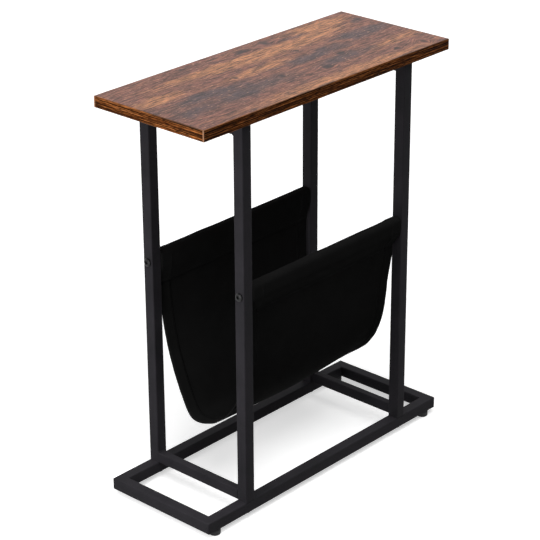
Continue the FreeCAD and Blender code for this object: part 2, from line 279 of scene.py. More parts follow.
def finish_nodes(material, names):
    """Give construction nodes a material."""
    for name in names:
        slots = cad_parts[name].data.materials
        slots.clear()
        slots.append(material)


def new_piece(name, bm, material, body, replaced=(), sharp=None):
    """Put a finished bmesh into the scene as one smooth-shaded piece that rides on a body.
    sharp is the angle in degrees past which an edge stays sharp."""
    mesh = bpy.data.meshes.new(name)
    bm.to_mesh(mesh)
    bm.free()
    mesh.shade_smooth()
    if sharp is not None:
        mesh.set_sharp_from_angle(angle=math.radians(sharp))
    mesh.materials.append(material)
    piece = bpy.data.objects.new(name, mesh)
    bpy.context.scene.collection.objects.link(piece)
    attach(piece, body)
    if replaced:
        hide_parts(*replaced)
    return piece


def middle(node):
    """The middle of a construction node's box."""
    low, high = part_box(node)
    return (low + high) / 2


def along(direction):
    """The turn that takes +Z to a direction."""
    return Vector(direction).to_track_quat("Z", "Y").to_matrix().to_4x4()


def clamped(value):
    """A value kept between 0 and 1."""
    return min(max(value, 0.0), 1.0)


def capped_ring(bm, segments, radius, place):
    """A closed disc from which a shape is drawn out: its vertices and edges."""
    disc = bmesh.ops.create_circle(bm, cap_ends=True, segments=segments, radius=radius, matrix=place)
    verts = disc["verts"]
    edges = [edge for edge in bm.edges if edge.verts[0] in verts and edge.verts[1] in verts]
    return verts, edges


def drawn_out(bm, edges):
    """Draw a line or ring of edges out by one step: the new vertices and edges."""
    made = bmesh.ops.extrude_edge_only(bm, edges=edges)["geom"]
    verts = [item for item in made if isinstance(item, bmesh.types.BMVert)]
    new_edges = [item for item in made if isinstance(item, bmesh.types.BMEdge)]
    return verts, [edge for edge in new_edges if all(vert in verts for vert in edge.verts)]


# Board

# Printed marks in millimetres: middle x and y, half length, half width
KNOTS = [
    (12, 78, 15, 6),
    (62, 82, 9, 11),
    (-75, 8, 6, 5),
    (66, 25, 4, 6),
    (-28, -32, 6, 6),
    (98, -27, 9, 6),
    (42, -52, 11, 8),
    (168, -73, 8, 6),
    (217, -80, 6, 11),
    (-100, 88, 7, 4),
]
TAN_BANDS = [
    (-30, 55, 170, 13),
    (60, 46, 110, 18),
    (140, 52, 80, 14),
    (-208, 22, 45, 15),
    (170, 80, 70, 18),
    (-20, 10, 60, 12),
    (30, -90, 200, 13),
    (200, -45, 60, 10),
]
SMOKE_BANDS = [
    (-160, -12, 110, 20),
    (-110, -38, 120, 26),
    (-195, -42, 60, 26),
    (70, -5, 100, 16),
    (190, 12, 75, 22),
    (112, 70, 30, 8),
    (90, -40, 90, 18),
    (232, 56, 22, 12),
]
# Distance to a knot, in units of its half sizes, at which none is near
FAR_FROM_KNOTS = 9.0
# How far the grain sways across the board, in millimetres
SWAY = 14.0
# How far the bands' edges are frayed along and across the board, in millimetres
FRAY = (70, 30, 0)
# Size of the noise that frays them, in millimetres
FRAY_SIZE = 26
# Sets the noise of the scratches and flecks apart from that of the streaks, in millimetres
NOISE_SHIFT = (500, 500, 0)


def oval_distance(tree, place, oval):
    """The offset from an oval's middle, and the distance in units of its half sizes."""
    x, y, half_length, half_width = oval
    offset = add(tree, "ShaderNodeVectorMath", {0: place, 1: (x, y, 0)}, operation="SUBTRACT")
    share = (1 / half_length, 1 / half_width, 0)
    scaled = add(tree, "ShaderNodeVectorMath", {0: offset, 1: share}, operation="MULTIPLY")
    return offset, add(tree, "ShaderNodeVectorMath", {0: scaled}, output="Value", operation="LENGTH")


def soft_bands(tree, place, ovals):
    """A mask of soft ovals: 1 at their middles and 0 well outside."""
    mask = 0.0
    for oval in ovals:
        distance = oval_distance(tree, place, oval)[1]
        falling = {"Value": distance, "From Min": 0.2, "From Max": 1.4, "To Min": 1.0, "To Max": 0.0}
        one = add(tree, "ShaderNodeMapRange", falling, interpolation_type="SMOOTHSTEP")
        mask = add(tree, "ShaderNodeMath", {0: mask, 1: one}, operation="MAXIMUM")
    return mask


def grain_noise(tree, grain, run, across, detail=3.0, rough=0.55):
    """Noise drawn out along the grain: features about run long and across wide, in millimetres."""
    per_millimetre = (1 / run, 1 / across, 1 / run)
    stretched = add(tree, "ShaderNodeVectorMath", {0: grain, 1: per_millimetre}, operation="MULTIPLY")
    settings = {"Vector": stretched, "Scale": 1.0, "Detail": detail, "Roughness": rough}
    return add(tree, "ShaderNodeTexNoise", settings)


def total(tree, start, *terms):
    """The sum of a start value and weighted terms, each a socket and its weight."""
    for value, weight in terms:
        start = add(tree, "ShaderNodeMath", {0: value, 1: weight, 2: start}, operation="MULTIPLY_ADD")
    return start


def flowing_grain(tree, place, knots):
    """The place in a grain that flows round the knots and sways, and the distance to the closest knot."""
    split = add(tree, "ShaderNodeSeparateXYZ", {0: place}).node.outputs
    y = split["Y"]
    closest = FAR_FROM_KNOTS
    for knot in knots:
        offset, distance = oval_distance(tree, place, knot)
        falling = {"Value": distance, "From Min": 0.4, "From Max": 2.6, "To Min": 0.85, "To Max": 0.0}
        near = add(tree, "ShaderNodeMapRange", falling, interpolation_type="SMOOTHSTEP")
        across = add(tree, "ShaderNodeSeparateXYZ", {0: offset}, output="Y")
        shift = add(tree, "ShaderNodeMath", {0: near, 1: across}, operation="MULTIPLY")
        y = add(tree, "ShaderNodeMath", {0: y, 1: shift}, operation="SUBTRACT")
        closest = add(tree, "ShaderNodeMath", {0: closest, 1: distance}, operation="MINIMUM")
    straight = add(tree, "ShaderNodeCombineXYZ", {"X": split["X"], "Y": y, "Z": split["Z"]})
    sway = grain_noise(tree, straight, 120, 40, detail=1.0)
    bend = add(tree, "ShaderNodeMath", {0: sway, 1: SWAY, 2: y}, operation="MULTIPLY_ADD")
    grain = add(tree, "ShaderNodeCombineXYZ", {"X": split["X"], "Y": bend, "Z": split["Z"]})
    return grain, closest


def frayed(tree, place):
    """The place pushed about by noise, which frays the edges of the bands."""
    settings = {"Vector": place, "Scale": 1 / FRAY_SIZE, "Detail": 5.0, "Roughness": 0.6}
    push = add(tree, "ShaderNodeTexNoise", settings, output="Color")
    pushed = add(tree, "ShaderNodeVectorMath", {0: push, 1: FRAY, 2: place}, operation="MULTIPLY_ADD")
    mean_push = [part / 2 for part in FRAY]
    return add(tree, "ShaderNodeVectorMath", {0: pushed, 1: mean_push}, operation="SUBTRACT")


def decor_sheet(look, name, knots, tan_bands, smoke_bands):
    """Melamine decor sheet printed with weathered brown wood: matt, streaked along the board, with
    smoky bands and knots round which the grain flows, and pores pressed in lightly."""
    material, tree = new_material(name)
    place = in_millimetres(tree)
    grain, closest = flowing_grain(tree, place, knots)
    shifted = add(tree, "ShaderNodeVectorMath", {0: grain, 1: NOISE_SHIFT}, operation="ADD")
    broad = grain_noise(tree, grain, 150, 11)
    streaks = grain_noise(tree, grain, 40, 2.6, detail=4.0, rough=0.6)
    scratches = grain_noise(tree, shifted, 22, 2.6, detail=4.0, rough=0.6)
    fibres = grain_noise(tree, grain, 18, 1.9, detail=4.0, rough=0.65)
    flecks = grain_noise(tree, shifted, 6, 2.6, detail=2.0, rough=0.5)
    clouds = grain_noise(tree, place, 34, 20, detail=5.0, rough=0.6)

    ragged = frayed(tree, place)
    tan_mask = soft_bands(tree, ragged, tan_bands)
    smoke_mask = soft_bands(tree, ragged, smoke_bands)
    tan = total(tree, -0.5, (tan_mask, 0.68), (streaks, 0.45), (broad, 0.9))
    tan = add(tree, "ShaderNodeMapRange", {"Value": tan, "From Min": 0.05, "From Max": 0.9},
              interpolation_type="SMOOTHSTEP")
    smoke = total(tree, -0.46, (smoke_mask, 0.75), (clouds, 1.15), (streaks, -0.2))
    smoke = add(tree, "ShaderNodeMapRange",
                {"Value": smoke, "From Min": 0.15, "From Max": 0.95, "To Max": 0.9},
                interpolation_type="SMOOTHSTEP")
    dark = add(tree, "ShaderNodeMapRange",
               {"Value": scratches, "From Min": 0.54, "From Max": 0.62, "To Max": 0.75})
    pale = add(tree, "ShaderNodeMapRange",
               {"Value": flecks, "From Min": 0.58, "From Max": 0.72, "To Max": 0.6})
    layers = [(tan, look.tan), (smoke, look.smoke), (dark, look.dark), (pale, look.fleck)]
    ground = laid_over(tree, look.brown, layers)
    tone = add(tree, "ShaderNodeMapRange",
               {"Value": fibres, "From Min": 0.34, "From Max": 0.66, "To Min": 0.2, "To Max": 1.8})
    ground = add(tree, "ShaderNodeVectorMath", {0: ground, "Scale": tone}, operation="SCALE")
    core = total(tree, 0.0, (fibres, 0.9), (closest, 1.0))
    core = add(tree, "ShaderNodeMapRange",
               {"Value": core, "From Min": 0.75, "From Max": 1.7, "To Min": 0.9, "To Max": 0.0},
               interpolation_type="SMOOTHSTEP")
    printed = add(tree, "ShaderNodeMix", {0: core, MIX_A: ground, MIX_B: look.dark},
                  output=MIX_RESULT, data_type="RGBA")

    rough = add(tree, "ShaderNodeMapRange", {"Value": streaks, "To Min": 0.38, "To Max": 0.56})
    pores = add(tree, "ShaderNodeBump", {"Height": fibres, "Strength": 0.25, "Distance": 0.08 * MM})
    surface = add(tree, "ShaderNodeBsdfPrincipled",
                  {"Base Color": printed, "Roughness": rough, "Normal": pores, "Specular IOR Level": 0.28})
    add(tree, "ShaderNodeOutputMaterial", {"Surface": surface})
    return material


# Where a strip's pale arris, its trimmed body and a painted highlight, starts and where it shows in full,
# in millimetres from the strip's edge
ARRIS_START = 1.2
ARRIS_FULL = 0.5
# How much of the strip's pale body and painted highlight shows along its long arrises and at its ends
LONG_ARRIS = 0.22
END_ARRIS = 0.9


def arris_body_and_highlight(tree, split, axis, box):
    """A mask of a strip's trimmed edges, pale body and painted highlight: weak along its run and strong at
    its ends.
    """
    low, high = box
    centre = (low + high) / 2
    half = (high - low) / 2 / MM
    mask = 0.0
    for direction, at, shows in (("Z", centre.z / MM, LONG_ARRIS), (axis, 0.0, END_ARRIS)):
        edge = half["XYZ".index(direction)]
        rising = {"Value": distance_from(tree, split[direction], at), "From Min": edge - ARRIS_START,
                  "From Max": edge - ARRIS_FULL, "To Max": shows}
        rim = add(tree, "ShaderNodeMapRange", rising)
        mask = add(tree, "ShaderNodeMath", {0: mask, 1: rim}, operation="MAXIMUM")
    return mask


def edge_strip(look, name, axis, box):
    """Printed edge strip glued round the board: brown streaks along its run, and pale trimmed arrises where
    the strip's own body shows, with a painted highlight along its eased edges. axis is the direction in
    which it runs, and box holds its corners."""
    material, tree = new_material(name)
    split = add(tree, "ShaderNodeSeparateXYZ", {0: in_millimetres(tree)}).node.outputs
    grain = add(tree, "ShaderNodeCombineXYZ", {"X": split[axis], "Y": split["Z"]})
    broad = grain_noise(tree, grain, 120, 1.5, detail=1.0)
    layers = grain_noise(tree, grain, 160, 1.15, detail=1.0, rough=0.5)
    streaks = grain_noise(tree, grain, 24, 1.3, detail=2.0, rough=0.5)
    flecks = grain_noise(tree, grain, 11, 1.4, detail=2.0, rough=0.5)
    light = add(tree, "ShaderNodeMapRange",
                {"Value": broad, "From Min": 0.47, "From Max": 0.68, "To Max": 0.9})
    dark = total(tree, -0.5, (layers, 1.3), (streaks, 0.7))
    dark = add(tree, "ShaderNodeMapRange",
               {"Value": dark, "From Min": 0.47, "From Max": 0.55, "To Max": 0.97})
    ground = laid_over(tree, look.edge, [(light, look.edge_light), (dark, look.edge_dark)])
    speckle = add(tree, "ShaderNodeMapRange",
                  {"Value": flecks, "From Min": 0.34, "From Max": 0.66, "To Min": 0.3, "To Max": 1.7})
    ground = add(tree, "ShaderNodeVectorMath", {0: ground, "Scale": speckle}, operation="SCALE")
    # Pale arrises: the strip's trimmed body, and a painted highlight along its eased edges
    arris = arris_body_and_highlight(tree, split, axis, box)
    printed = add(tree, "ShaderNodeMix", {0: arris, MIX_A: ground, MIX_B: look.arris},
                  output=MIX_RESULT, data_type="RGBA")
    pores = add(tree, "ShaderNodeBump", {"Height": streaks, "Strength": 0.3, "Distance": 0.1 * MM})
    surface = add(tree, "ShaderNodeBsdfPrincipled",
                  {"Base Color": printed, "Roughness": 0.55, "Normal": pores, "Specular IOR Level": 0.02})
    add(tree, "ShaderNodeOutputMaterial", {"Surface": surface})
    return material


def chipboard(look):
    """Raw chipboard: pressed wood chips a few millimetres across, pale, with darker glue between them."""
    material, tree = new_material("Raw chipboard")
    settings = {"Vector": in_millimetres(tree, (4, 4, 1.5)), "Scale": 1.0}
    chips = add(tree, "ShaderNodeTexVoronoi", settings, output="Color")
    tone = add(tree, "ShaderNodeSeparateXYZ", {0: chips})
    pressed = add(tree, "ShaderNodeMix", {0: tone, MIX_A: look.glue, MIX_B: look.chip},
                  output=MIX_RESULT, data_type="RGBA")
    bump = add(tree, "ShaderNodeBump", {"Height": tone, "Strength": 0.4, "Distance": 0.2 * MM})
    surface = add(tree, "ShaderNodeBsdfPrincipled",
                  {"Base Color": pressed, "Roughness": 0.85, "Normal": bump})
    add(tree, "ShaderNodeOutputMaterial", {"Surface": surface})
    return material


class FinishBoard(bpy.types.Operator):
    """Print the board's sheets and edge strips with weathered brown wood"""

    bl_idname = "magazine_table.finish_board"
    bl_label = "Finish board"

    def execute(self, context):
        look = context.scene.magazine_table.board
        top = decor_sheet(look, "Melamine decor sheet, wood print", KNOTS, TAN_BANDS, SMOKE_BANDS)
        # The underside has another stretch of the print, light where the top is smoky
        under = decor_sheet(look, "Melamine decor sheet, underside", KNOTS[:2], SMOKE_BANDS[:3],
                            TAN_BANDS[:2])
        finish_nodes(top, ["top_laminate"])
        finish_nodes(under, ["underside_laminate"])
        for side, axis in (("front", "X"), ("rear", "X"), ("left", "Y"), ("right", "Y")):
            node = f"edge_band_{side}"
            strip = edge_strip(look, f"Printed edge strip, {side}", axis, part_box(node))
            finish_nodes(strip, [node])
        finish_nodes(chipboard(look), ["table_core"])
        return {"FINISHED"}


# Steel frame

# Starts of the names of the powder-coated nodes
COATED = (
    "leg_front", "leg_rear", "top_crossbar", "low_crossbar", "base_rail",
    "sling_bar_front", "sling_bar_rear",
)
# Size of the coat's clouds of thin and thick, in millimetres
CLOUD_SIZE = 45
# Half the length of a weld's ripple, fewest steps of a bead, and the sides of its section
WELD_STEP = 1.2 * MM
WELD_FEWEST = 3
WELD_SIDES = 8
# Width of a bead at its ends, on its ripples and between them, in shares of its full width
WELD_END = 0.5
WELD_CREST = 1.0
WELD_DIP = 0.8


def powder_coat(look):
    """Black powder coat on steel tube, sprayed and baked: satin, finely pebbled, uneven in gloss."""
    material, tree = new_material("Black powder coat on steel")
    place = in_millimetres(tree)
    pebbles = add(tree, "ShaderNodeTexNoise",
                  {"Vector": place, "Scale": MM / look.pebble, "Detail": 2.0, "Roughness": 0.5})
    clouds = add(tree, "ShaderNodeTexNoise", {"Vector": place, "Scale": 1 / CLOUD_SIZE, "Detail": 3.0})
    tone = add(tree, "ShaderNodeMath", {0: pebbles, 1: 0.4, 2: clouds}, operation="MULTIPLY_ADD")
    tone = add(tree, "ShaderNodeMapRange", {"Value": tone, "From Min": 0.5, "From Max": 0.9})
    coat = add(tree, "ShaderNodeMix", {0: tone, MIX_A: look.coat_deep, MIX_B: look.coat},
               output=MIX_RESULT, data_type="RGBA")
    rough = add(tree, "ShaderNodeMapRange",
                {"Value": clouds, "From Min": 0.3, "From Max": 0.7, "To Min": 0.46, "To Max": 0.58})
    skin = add(tree, "ShaderNodeBump", {"Height": pebbles, "Strength": 0.2, "Distance": 0.12 * MM})
    surface = add(tree, "ShaderNodeBsdfPrincipled",
                  {"Base Color": coat, "Roughness": rough, "Normal": skin, "Specular IOR Level": 0.03})
    add(tree, "ShaderNodeOutputMaterial", {"Surface": surface})
    return material


def weld_bead(bm, start, end, radius):
    """A rippled bead from start to end, half sunk into the corner that it fills."""
    run = end - start
    count = max(WELD_FEWEST, round(run.length / WELD_STEP))
    ripples = [WELD_CREST if index % 2 else WELD_DIP for index in range(1, count)]
    widths = [WELD_END, *ripples, WELD_END]
    edges = capped_ring(bm, WELD_SIDES, radius * WELD_END, Matrix.Translation(start) @ along(run))[1]
    for index in range(1, count + 1):
        ring, edges = drawn_out(bm, edges)
        bmesh.ops.translate(bm, verts=ring, vec=run / count)
        centre = start + run * (index / count)
        growth = Vector.Fill(3, widths[index] / widths[index - 1])
        bmesh.ops.scale(bm, verts=ring, vec=growth, space=Matrix.Translation(-centre))
    bmesh.ops.contextual_create(bm, geom=edges)


def weld_seams():
    """Start and end of each bead: where the ends of the crossbars meet the legs."""
    seams = []
    for level in ("top", "low"):
        for side in ("left", "right"):
            low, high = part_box(f"{level}_crossbar_{side}")
            inner = high.x if side == "left" else low.x
            open_edge = low.z if level == "top" else high.z
            for y in (low.y, high.y):
                seams.append((Vector((inner, y, low.z)), Vector((inner, y, high.z))))
                seams.append((Vector((low.x, y, open_edge)), Vector((high.x, y, open_edge))))
    return seams


class FinishFrame(bpy.types.Operator):
    """Powder-coat the steel frame and lay the weld beads of its crossbars"""

    bl_idname = "magazine_table.finish_frame"
    bl_label = "Finish frame"

    def execute(self, context):
        look = context.scene.magazine_table.steel
        coat = powder_coat(look)
        finish_nodes(coat, [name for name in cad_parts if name.startswith(COATED)])
        bm = bmesh.new()
        for start, end in weld_seams():
            weld_bead(bm, start, end, look.weld_radius)
        bmesh.ops.recalc_face_normals(bm, faces=bm.faces)
        new_piece("weld_beads", bm, coat, TABLE)
        return {"FINISHED"}


# Sling

# Sizes of the canvas's faded patches and of the sewing thread's twist, in millimetres
PATCH_SIZE = 30
TWIST_SIZE = 0.8
# Half the width of the dark line of painted shade along a row of hem stitches, where it ends, and how dark
# it is
HEM_DARK = 0.5 * MM
HEM_CLEAR = 1.8 * MM
HEM_TONE = 0.25
# Points on the open part of a wall, and on each half of the stretch round its row of seam stitches
WALL_STEPS = 40
SEAM_STEPS = 4
# Rounding of the bars' upper corners under the cloth
BAR_CORNER = 4 * MM
# From the middle of a wall to the middle of the flap inside it, in thicknesses of the cloth
FLAP_CLEAR = 1.2
# How sharply the lean gathers in the lowest cloth
FOLD_SHARPNESS = 10
# Share of the sag by which the whole fold is lifted, and where along the bars it hangs lowest
ENDS_LIFT = 0.25
SAG_MIDDLE = -0.1
# Height of the slack cloth's waves, their noise in a metre, and how far from a seam or an end they change
WALL_SLACK = 1.8 * MM
WALL_WAVES = (14, 9)
WALL_REACH = 60 * MM
SEAM_PUCKER = 1.1 * MM
SEAM_WAVES = 60
SEAM_REACH = 14 * MM
HEM_PUCKER = 0.7 * MM
HEM_WAVES = 75
HEM_REACH = 16 * MM
SLEEVE_SLACK = 1.3 * MM
SLEEVE_WAVES = 22
SLEEVE_REACH = 20 * MM
SLEEVE_EVEN = 0.5
# Even part of a seam's crease, its noise in a metre, and its width in shares of the seam's drop
CREASE_EVEN = 0.6
CREASE_WAVES = 45
CREASE_WIDTH = 0.4
# Fixed coordinates that set each kind of noise apart from the others
WALL_NOISE = 0.3
SEAM_NOISE = 4.0
HEM_NOISE = 7.0
CREASE_NOISE = 9.0
SLEEVE_NOISE = 2.0
# Layers of cloth in a hem, and the stretch over which the cloth thickens to it
HEM_LAYERS = 2
HEM_STEP = 0.8 * MM
# Closeness at which a point counts as on the hem's edge or on a cut
ON_HEM = 0.1 * MM
ON_CUT = 0.001 * MM
# From the ends of the sling to the first stitches of its seams
SEWN_MARGIN = 2 * MM


def plain_weave(tree, cloth, spacing):
    """Height of round threads that cross over and under at a spacing on the cloth."""
    scaled = add(tree, "ShaderNodeVectorMath", {0: cloth, "Scale": math.pi / spacing}, operation="SCALE")
    split = add(tree, "ShaderNodeSeparateXYZ", {0: scaled}).node.outputs
    warp = add(tree, "ShaderNodeMath", {0: split["X"]}, operation="SINE")
    weft = add(tree, "ShaderNodeMath", {0: split["Y"]}, operation="SINE")
    over = add(tree, "ShaderNodeMath", {0: warp, 1: weft}, operation="MULTIPLY")
    over = add(tree, "ShaderNodeMath", {0: over, 1: 0.0}, operation="GREATER_THAN")
    warp_height = add(tree, "ShaderNodeMath", {0: warp}, operation="ABSOLUTE")
    weft_height = add(tree, "ShaderNodeMath", {0: weft}, operation="ABSOLUTE")
    return add(tree, "ShaderNodeMix", {0: over, 2: warp_height, 3: weft_height}, data_type="FLOAT")


def painted_hem_shade(tree, cloth, section):
    """1 on the open cloth, and less along the walls' rows of hem stitches: painted shade of the crease that
    the stitches draw in.
    """
    split = add(tree, "ShaderNodeSeparateXYZ", {0: cloth}).node.outputs
    to_row = distance_from(tree, distance_from(tree, split["X"], 0.0), section.hem_row)
    from_fold = distance_from(tree, split["Y"], section.run / 2)
    wall = section.run / 2 - section.seam_runs[0]
    past_wall = add(tree, "ShaderNodeMath", {0: from_fold, 1: wall}, operation="SUBTRACT")
    to_row = add(tree, "ShaderNodeMath", {0: to_row, 1: past_wall}, operation="MAXIMUM")
    rising = {"Value": to_row, "From Min": HEM_DARK, "From Max": HEM_CLEAR, "To Min": HEM_TONE}
    return add(tree, "ShaderNodeMapRange", rising)


def canvas(look, section):
    """Plain-woven black cotton canvas: round threads that cross over and under, matt, a little faded in
    patches, with painted shade along its rows of hem stitches."""
    material, tree = new_material("Black cotton canvas, plain weave")
    cloth = add(tree, "ShaderNodeUVMap", uv_map="cloth")
    threads = plain_weave(tree, cloth, look.weave)
    settings = {"Vector": in_millimetres(tree), "Scale": 1 / PATCH_SIZE, "Detail": 4.0}
    patches = add(tree, "ShaderNodeTexNoise", settings)
    worn = add(tree, "ShaderNodeMath", {0: threads, 1: patches}, operation="MULTIPLY")
    dyed = add(tree, "ShaderNodeMix", {0: worn, MIX_A: look.canvas, MIX_B: look.canvas_worn},
               output=MIX_RESULT, data_type="RGBA")
    # Painted shade along the walls' rows of hem stitches, where the cloth is drawn into a crease
    shade = painted_hem_shade(tree, cloth, section)
    dyed = add(tree, "ShaderNodeVectorMath", {0: dyed, "Scale": shade}, operation="SCALE")
    bump = add(tree, "ShaderNodeBump", {"Height": threads, "Strength": 0.5, "Distance": 0.2 * MM})
    surface = add(tree, "ShaderNodeBsdfPrincipled",
                  {"Base Color": dyed, "Roughness": 0.9, "Normal": bump, "Specular IOR Level": 0.01})
    add(tree, "ShaderNodeOutputMaterial", {"Surface": surface})
    return material


def sewing_thread(look):
    """Twisted black polyester thread, a touch brighter and smoother than the canvas it lies on."""
    material, tree = new_material("Black polyester sewing thread")
    settings = {"Vector": in_millimetres(tree), "Scale": 1 / TWIST_SIZE, "Detail": 2.0}
    twist = add(tree, "ShaderNodeTexNoise", settings)
    tone = add(tree, "ShaderNodeMapRange", {"Value": twist, "To Min": 0.7, "To Max": 1.3})
    dyed = add(tree, "ShaderNodeVectorMath", {0: look.thread[:3], "Scale": tone}, operation="SCALE")
    bump = add(tree, "ShaderNodeBump", {"Height": twist, "Strength": 0.4, "Distance": 0.1 * MM})
    surface = add(tree, "ShaderNodeBsdfPrincipled",
                  {"Base Color": dyed, "Roughness": 0.7, "Normal": bump, "Specular IOR Level": 0.08})
    add(tree, "ShaderNodeOutputMaterial", {"Surface": surface})
    return material


class SlingSection:
    """Cross-section of the sling from the front flap to the rear flap, by the run along the cloth."""

    def __init__(self, look):
        low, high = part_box("sling_bar_rear")
        node_low, node_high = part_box("magazine_sling")
        self.half_length = node_high.x
        self.hem_line = self.half_length - look.hem
        self.hem_row = self.hem_line + look.row_inset
        self.bar = (low + high) / 2
        self.bar_half = (high - low) / 2
        self.bottom = node_low.z + look.cloth / 2
        self.seam = Vector((0, self.bar.y - look.inset, low.z - look.tail))
        self.depth = self.seam.z - self.bottom
        half = self.rear_half(look)
        self.points = [Vector((0, -point.y, point.z)) for point in reversed(half[1:])] + half
        self.runs = [0.0]
        for before, after in zip(self.points, self.points[1:]):
            self.runs.append(self.runs[-1] + (after - before).length)
        self.run = self.runs[-1]
        lowest = len(half) - 1
        wall_points = WALL_STEPS + 2 * SEAM_STEPS
        self.seam_runs = [self.runs[lowest - wall_points], self.runs[lowest + wall_points]]

    def wall(self, turn):
        """Point of the walls, half an ellipse: turn is 0 at the lowest cloth, a quarter at the seam."""
        return Vector((0, self.seam.y * math.sin(turn), self.seam.z - self.depth * math.cos(turn)))

    def rear_half(self, look):
        """Points from the lowest cloth up the rear wall, round the rear bar and down to the flap's end."""
        spread = look.gap + look.cloth / 2
        side = self.bar_half.y + spread
        top = self.bar_half.z + spread
        corner = BAR_CORNER + spread
        quarter = math.pi / 2
        crease_turn = quarter - look.seam_drop / self.depth
        open_turn = quarter - 2 * look.seam_drop / self.depth
        points = [self.wall(open_turn * index / WALL_STEPS) for index in range(WALL_STEPS + 1)]
        for start, end in ((open_turn, crease_turn), (crease_turn, quarter)):
            step = end - start
            points += [self.wall(start + step * (index + 1) / SEAM_STEPS) for index in range(SEAM_STEPS)]

        def line_to(y, z, parts):
            start = points[-1]
            end = Vector((0, self.bar.y + y, self.bar.z + z))
            points.extend(start.lerp(end, (index + 1) / parts) for index in range(parts))

        def arc_to(y, z, start_angle, parts):
            for index in range(parts):
                angle = start_angle + quarter * (index + 1) / parts
                turn = Vector((0, math.cos(angle), math.sin(angle))) * corner
                points.append(Vector((0, self.bar.y + y, self.bar.z + z)) + turn)

        line_to(side, -self.bar_half.z, parts=3)
        line_to(side, top - corner, parts=4)
        arc_to(side - corner, top - corner, 0.0, parts=4)
        line_to(corner - side, top, parts=1)
        arc_to(corner - side, top - corner, quarter, parts=4)
        line_to(-side, -self.bar_half.z, parts=4)
        inward = Vector((0, -1, 0)) * look.cloth * FLAP_CLEAR
        seam = self.seam + inward - self.bar
        line_to(seam.y, seam.z, parts=3)
        flap_end = self.wall(quarter - look.flap / self.depth) + inward - self.bar
        line_to(flap_end.y, flap_end.z, parts=2)
        return points

    def at(self, run):
        """Point and outward direction of the section at a run along the cloth."""
        index = min(max(bisect.bisect_right(self.runs, run) - 1, 0), len(self.runs) - 2)
        start, end = self.points[index], self.points[index + 1]
        share = (run - self.runs[index]) / (self.runs[index + 1] - self.runs[index])
        tangent = (end - start).normalized()
        return start.lerp(end, share), Vector((0, tangent.z, -tangent.y))

    def to_seam(self, run):
        """Distance along the cloth to the closer seam."""
        return min(abs(run - seam) for seam in self.seam_runs)

    def in_wall(self, run):
        """Whether a run along the cloth lies in the hanging walls, between the two seams."""
        return self.seam_runs[0] < run < self.seam_runs[1]

    def height(self, point):
        """Height of a point in the walls: 0 at the lowest cloth and 1 at the seams."""
        return clamped((point.z - self.bottom) / self.depth)


def side_of(value):
    """1 or -1, for the side on which a value lies."""
    return math.copysign(1, value)


def wall_slack(section, look, x, run, point):
    """How far a wall stands out from its section: waves, puckers, creases along stitches and swell, less
    what draws the front wall in towards its right end."""
    to_end = section.half_length - abs(x)
    to_seam = section.to_seam(run)
    to_row = section.hem_row - abs(x)
    held = min(1.0, to_seam / WALL_REACH)
    slack = WALL_SLACK * held * noise.noise(Vector((x * WALL_WAVES[0], run * WALL_WAVES[1], WALL_NOISE)))
    seam_pucker = SEAM_PUCKER * math.exp(-to_seam / SEAM_REACH)
    slack += seam_pucker * noise.noise(Vector((x * SEAM_WAVES, SEAM_NOISE, run)))
    hem_pucker = HEM_PUCKER * math.exp(-to_end / HEM_REACH) * held
    slack += hem_pucker * noise.noise(Vector((HEM_NOISE, run * HEM_WAVES, side_of(x))))
    uneven = noise.noise(Vector((x * CREASE_WAVES, CREASE_NOISE, side_of(point.y))))
    to_crease = (to_seam - look.seam_drop) / (CREASE_WIDTH * look.seam_drop)
    slack -= look.crease * (CREASE_EVEN + uneven) * math.exp(-to_crease ** 2)
    slack -= look.hem_crease * held * math.exp(-(to_row / look.row_inset) ** 2)
    height = section.height(point)
    swell = look.belly * math.sin(math.pi * height) ** 2
    towards_right = (1 + x / section.half_length) / 2
    if point.y > 0:
        return slack + swell * towards_right
    return slack + swell - look.askew * towards_right * math.sin(math.pi * height ** 2) ** 2


def sleeve_slack(section, x, run, point, outward):
    """How far a sleeve stands off its bar's sides: loose in places, and close at its seam and its ends."""
    to_end = section.half_length - abs(x)
    ease = min(1.0, to_end / SLEEVE_REACH) * min(1.0, section.to_seam(run) / SLEEVE_REACH)
    uneven = noise.noise(Vector((x * SLEEVE_WAVES, SLEEVE_NOISE, side_of(point.y))))
    return SLEEVE_SLACK * ease * max(0.0, SLEEVE_EVEN + uneven) * abs(outward.y)


def cloth_point(section, look, x, run):
    """Where a point of the flat cloth hangs: slack, its fold leaning and sagging, its ends drawn in."""
    point, outward = section.at(run)
    if section.in_wall(run):
        slack = wall_slack(section, look, x, run, point)
    else:
        slack = sleeve_slack(section, x, run, point, outward)
    moved = point + outward * slack
    height = section.height(point)
    along_bar = x / section.half_length
    lean = look.lean * (1 - height) ** FOLD_SHARPNESS
    sag = look.sag * ((1 - (along_bar - SAG_MIDDLE) ** 2) ** 3 - ENDS_LIFT) - look.tilt * along_bar
    drawn = look.draw * (1 - height ** 2)
    if x > 0:
        drawn += look.slip * clamped((section.bar.z - point.z) / (section.bar.z - section.seam.z))
    inward = 1 - drawn / section.half_length
    return Vector((x * inward, moved.y + lean, moved.z - sag * (1 - height) ** 2))


